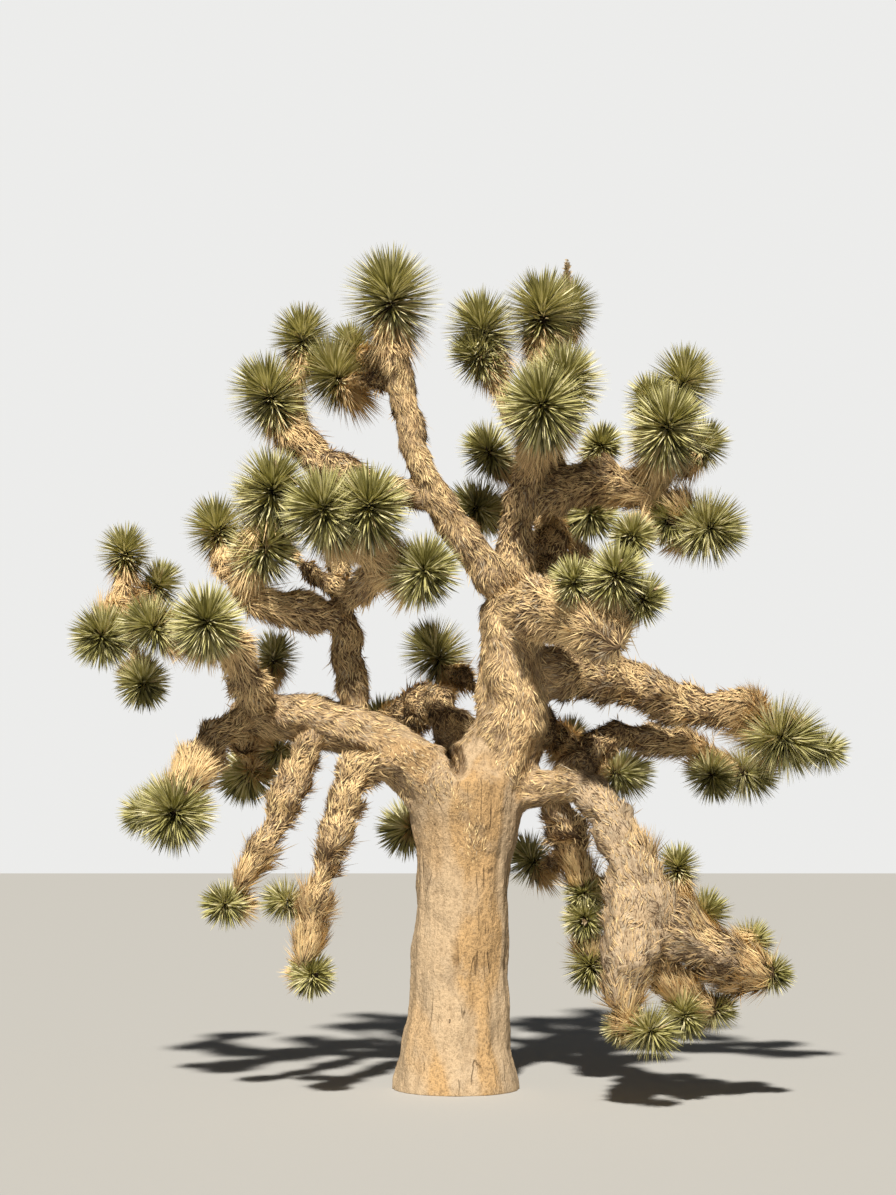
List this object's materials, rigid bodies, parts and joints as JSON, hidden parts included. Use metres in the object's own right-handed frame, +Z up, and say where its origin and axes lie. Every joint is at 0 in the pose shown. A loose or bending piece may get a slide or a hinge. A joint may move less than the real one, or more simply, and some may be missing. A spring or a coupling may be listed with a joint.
{
  "type": "joshua tree",
  "caption": "Joshua tree: a stout flared trunk that forks low into spreading boughs with shaggy crooked arms, some of them hanging, and round heads of dagger leaves at the tips",
  "frame": {"origin": "Middle of the flat cut under the trunk, at ground level", "axes": "+X to the right and -Y towards the front, with the fork seen open; +Z up"},
  "size_m": [4.6499, 2.7492, 5.0189],
  "materials": {
    "trunk_bark": "rough corky bark, pale tan with ochre patches and fine upright cracks",
    "bough_bark": "rough flaking bark under matted dead leaves, ochre to straw",
    "leaf_heads": "stiff waxy dagger leaves, olive to yellow green, straw coloured below"
  },
  "bodies": {
    "root": {"trunk": "trunk_bark", "left_bough": "bough_bark", "right_bough": "bough_bark", "left_riser": "bough_bark", "left_cross_arm": "bough_bark", "left_inner_arm": "bough_bark", "left_outer_arm": "bough_bark", "far_left_arm": "bough_bark", "left_low_arm": "bough_bark", "left_hanging_arm": "bough_bark", "inner_hanging_arm": "bough_bark", "upper_left_bough": "bough_bark", "upper_left_arm": "bough_bark", "upper_right_bough": "bough_bark", "upper_right_arm": "bough_bark", "front_arm": "bough_bark", "right_arm": "bough_bark", "low_right_bough": "bough_bark", "right_low_riser": "bough_bark", "right_hanging_arm": "bough_bark", "right_hanging_fork": "bough_bark", "right_hanging_tip": "bough_bark", "right_inner_arm": "bough_bark", "rear_low_bough": "bough_bark", "rear_right_bough": "bough_bark", "rear_upper_bough": "bough_bark", "crown_left_head": "leaf_heads", "upper_left_heads": "leaf_heads", "upper_left_side_heads": "leaf_heads", "left_upper_heads": "leaf_heads", "left_front_heads": "leaf_heads", "left_back_heads": "leaf_heads", "left_inner_head": "leaf_heads", "left_outer_heads": "leaf_heads", "left_side_head": "leaf_heads", "far_left_heads": "leaf_heads", "left_low_heads": "leaf_heads", "left_stub_heads": "leaf_heads", "left_hanging_head": "leaf_heads", "inner_hanging_side_head": "leaf_heads", "inner_hanging_head": "leaf_heads", "rear_left_head": "leaf_heads", "rear_low_tip_head": "leaf_heads", "rear_low_heads": "leaf_heads", "crown_right_heads": "leaf_heads", "crown_front_heads": "leaf_heads", "crown_right_back_heads": "leaf_heads", "rear_upper_left_heads": "leaf_heads", "rear_upper_right_heads": "leaf_heads", "right_top_heads": "leaf_heads", "right_end_heads": "leaf_heads", "front_heads": "leaf_heads", "right_arm_heads": "leaf_heads", "right_low_heads": "leaf_heads", "rear_right_heads": "leaf_heads", "right_inner_head": "leaf_heads", "right_inner_tip_heads": "leaf_heads", "right_hanging_side_heads": "leaf_heads", "right_hanging_tip_heads": "leaf_heads", "right_hanging_under_heads": "leaf_heads"}
  },
  "joints": []
}
